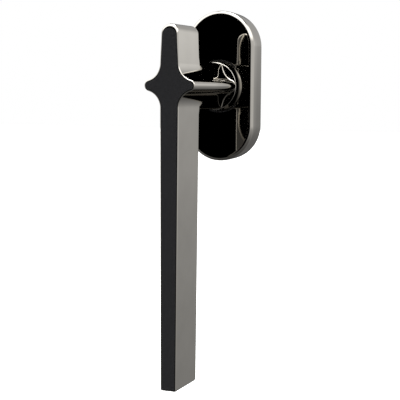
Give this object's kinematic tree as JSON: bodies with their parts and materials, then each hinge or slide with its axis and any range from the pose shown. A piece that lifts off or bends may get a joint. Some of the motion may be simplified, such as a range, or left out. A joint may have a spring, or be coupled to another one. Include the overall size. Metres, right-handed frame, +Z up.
{
  "type": "tilt turn window handle",
  "caption": "Tilt turn window handle: cross shaped chrome lever with a black face plate on an obround rose, square spindle and fixing screws behind.",
  "frame": {"origin": "on the spindle axis, in the mounting face of the base", "axes": "+Y along the spindle towards the window sash, -Y into the room, +Z up along the lever at rest, +X to the right seen from the room"},
  "size_m": [0.0336, 0.102, 0.167],
  "materials": {
    "chrome": "polished chrome plate",
    "black_plate": "matt black coating",
    "zinc_steel": "bright zinc plate",
    "dark_steel": "oiled, blackened",
    "spring_steel": "cold rolled strip",
    "black_nylon": "moulded",
    "die_cast_zinc": "as cast zinc alloy",
    "white_acetal": "moulded",
    "foam": "closed cell foam"
  },
  "bodies": {
    "base": {"base_plate": "die_cast_zinc", "bearing_bush": "white_acetal", "detent_spring_left": "spring_steel", "detent_spring_right": "spring_steel", "cover_clip_upper": "spring_steel", "cover_clip_lower": "spring_steel", "closing_plate": "zinc_steel", "plate_rivets": "zinc_steel", "fixing_screws": "zinc_steel", "gasket": "foam"},
    "cover": {"rose_cover": "chrome", "cover_ring": "black_nylon"},
    "lever": {"lever": "chrome", "front_inlay": "black_plate", "spindle": "zinc_steel", "spindle_pin": "dark_steel", "detent_cam": "dark_steel", "thrust_washer": "zinc_steel", "wave_washer": "spring_steel", "steel_washer": "zinc_steel", "retaining_ring": "dark_steel"}
  },
  "joints": [
    {"name": "handle_turn", "type": "hinge", "parent": "base", "child": "lever", "pos_m": [0, 0, 0], "axis": [0, 1, 0], "range_deg": [-180, 180], "deforming": ["detent_spring_left", "detent_spring_right"]},
    {"name": "cover_lift", "type": "slide", "parent": "base", "child": "cover", "axis": [0, -1, 0], "range_m": [0, 0.014]}
  ]
}
